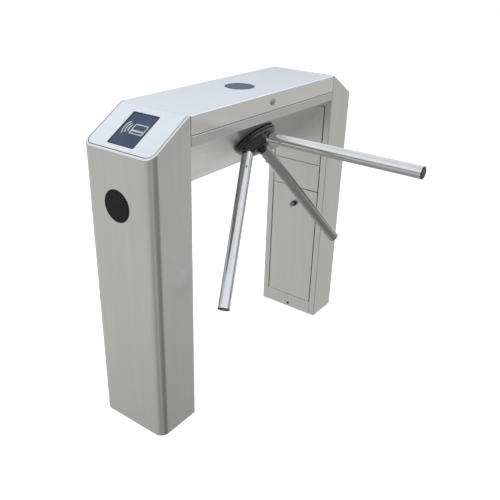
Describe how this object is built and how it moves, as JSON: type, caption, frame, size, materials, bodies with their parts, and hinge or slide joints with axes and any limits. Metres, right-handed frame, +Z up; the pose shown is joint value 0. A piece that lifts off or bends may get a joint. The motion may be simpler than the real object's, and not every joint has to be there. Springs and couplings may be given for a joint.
{
  "type": "tripod turnstile",
  "caption": "Bridge-type tripod turnstile: two sloped pedestals and a beam with a lid carry an inclined rotating hub with horizontal and drooping tube arms.",
  "frame": {"origin": "on the floor, under the middle of the bounding box, arms included", "axes": "+X along the beam from the near to the far pedestal, +Y from the passage to the back of the beam, +Z up"},
  "size_m": [1.085, 0.77, 1],
  "materials": {
    "brushed_steel": "brushed stainless sheet with a fine vertical grain",
    "top_steel": "brushed stainless sheet that mirrors the bright sky",
    "polished_steel": "polished stainless tube",
    "black_casting": "black paint over a casting",
    "black_plastic": "black moulded plastic",
    "reader_glass": null,
    "top_lens": "slate-blue lens over the indicator",
    "end_lens": "near-black lens over the indicator",
    "zinc_plated": "zinc-plated steel",
    "ground_steel": "ground bearing steel",
    "brass": "machined brass",
    "cable_sheath": "black cable sheath",
    "circuit_board": "green circuit board"
  },
  "bodies": {
    "cabinet": {"near_pedestal_shell": "brushed_steel", "near_end_cover": "top_steel", "near_base_plate": "zinc_plated", "near_inner_panel": "brushed_steel", "near_reader_window": "reader_glass", "near_reader_module": "black_plastic", "near_end_indicator": "end_lens", "far_pedestal_shell": "brushed_steel", "far_end_cover": "top_steel", "far_base_plate": "zinc_plated", "far_inner_panel": "brushed_steel", "far_reader_window": "reader_glass", "far_reader_module": "black_plastic", "far_end_indicator": "end_lens", "beam_trough": "brushed_steel", "lid_hinge_pin": "zinc_plated", "control_board": "circuit_board", "power_supply": "zinc_plated", "near_harness": "cable_sheath", "far_harness": "cable_sheath", "mechanism_plate": "zinc_plated", "bearing_housing": "black_casting", "front_bearing": "ground_steel", "rear_bearing": "ground_steel", "damper_bracket": "zinc_plated", "damper_body": "black_casting", "index_spring": "ground_steel", "position_sensor": "brass", "left_solenoid": "black_casting", "right_solenoid": "black_casting"},
    "rotor": {"hub_body": "black_casting", "hub_cap_bolt": "black_plastic", "arm_1": "polished_steel", "arm_2": "polished_steel", "arm_3": "polished_steel", "arm_cap_1": "black_plastic", "arm_cap_2": "black_plastic", "arm_cap_3": "black_plastic", "main_shaft": "ground_steel", "index_cam": "ground_steel", "lock_wheel": "zinc_plated", "damper_gear": "brass"},
    "damper_pinion": {"damper_pinion": "brass"},
    "roller_lever": {"roller_lever": "zinc_plated"},
    "lever_roller": {"lever_roller": "ground_steel"},
    "left_pawl": {"left_pawl": "zinc_plated"},
    "right_pawl": {"right_pawl": "zinc_plated"},
    "left_plunger": {"left_plunger": "ground_steel"},
    "right_plunger": {"right_plunger": "ground_steel"},
    "lid": {"lid": "top_steel", "lid_indicator": "top_lens", "lid_lock_body": "zinc_plated"},
    "lid_lock": {"lid_lock_plug": "zinc_plated"},
    "near_door": {"near_door": "brushed_steel", "near_door_lock_body": "black_plastic"},
    "near_door_lock": {"near_door_lock_knob": "black_plastic"},
    "far_door": {"far_door": "brushed_steel", "far_door_lock_body": "black_plastic"},
    "far_door_lock": {"far_door_lock_knob": "black_plastic"}
  },
  "joints": [
    {"name": "hub_rotation", "type": "hinge", "parent": "cabinet", "child": "rotor", "pos_m": [0, 0.19203, 0.84558], "axis": [0, -0.7193, -0.6947], "continuous": true},
    {"name": "damper_pinion_rotation", "type": "hinge", "parent": "cabinet", "child": "damper_pinion", "pos_m": [0.054, 0.269, 0.91991], "axis": [0, -0.7193, -0.6947], "continuous": true},
    {"name": "roller_lever_swing", "type": "hinge", "parent": "cabinet", "child": "roller_lever", "pos_m": [-0.066, 0.20489, 0.93447], "axis": [0, 0.7193, 0.6947], "range_deg": [-11, 0]},
    {"name": "roller_spin", "type": "hinge", "parent": "roller_lever", "child": "lever_roller", "pos_m": [-0.0596, 0.25029, 0.90185], "axis": [0, -0.7193, -0.6947], "continuous": true},
    {"name": "left_pawl_swing", "type": "hinge", "parent": "cabinet", "child": "left_pawl", "pos_m": [-0.06164, 0.27896, 0.89232], "axis": [0, -0.7193, -0.6947], "range_deg": [0, 7.5]},
    {"name": "right_pawl_swing", "type": "hinge", "parent": "cabinet", "child": "right_pawl", "pos_m": [0.06164, 0.27896, 0.89232], "axis": [0, 0.7193, 0.6947], "range_deg": [0, 7.5]},
    {"name": "left_plunger_slide", "type": "slide", "parent": "cabinet", "child": "left_plunger", "axis": [1, 0, 0], "range_m": [0, 0.0045]},
    {"name": "right_plunger_slide", "type": "slide", "parent": "cabinet", "child": "right_plunger", "axis": [-1, 0, 0], "range_m": [0, 0.0045]},
    {"name": "lid_hinge", "type": "hinge", "parent": "cabinet", "child": "lid", "pos_m": [0, 0.37999, 0.9905], "axis": [-1, 0, 0], "range_deg": [0, 75]},
    {"name": "lid_lock_turn", "type": "hinge", "parent": "lid", "child": "lid_lock", "pos_m": [0.002, 0.13499, 0.972], "axis": [0, 1, 0], "range_deg": [0, 90]},
    {"name": "near_door_hinge", "type": "hinge", "parent": "cabinet", "child": "near_door", "pos_m": [-0.3895, 0.34899, 0.3], "axis": [0, 0, 1], "range_deg": [0, 95]},
    {"name": "near_door_lock_turn", "type": "hinge", "parent": "near_door", "child": "near_door_lock", "pos_m": [-0.39, 0.25499, 0.481], "axis": [-1, 0, 0], "range_deg": [0, 90]},
    {"name": "far_door_hinge", "type": "hinge", "parent": "cabinet", "child": "far_door", "pos_m": [0.3895, 0.34899, 0.3], "axis": [0, 0, -1], "range_deg": [0, 95]},
    {"name": "far_door_lock_turn", "type": "hinge", "parent": "far_door", "child": "far_door_lock", "pos_m": [0.39, 0.25499, 0.481], "axis": [-1, 0, 0], "range_deg": [0, 90]}
  ],
  "couplings": [
    {"joint": "damper_pinion_rotation", "follows": "hub_rotation", "ratio": -5},
    {"joint": "left_plunger_slide", "follows": "left_pawl_swing", "m_per_rad": 0.034},
    {"joint": "right_plunger_slide", "follows": "right_pawl_swing", "m_per_rad": 0.034}
  ]
}
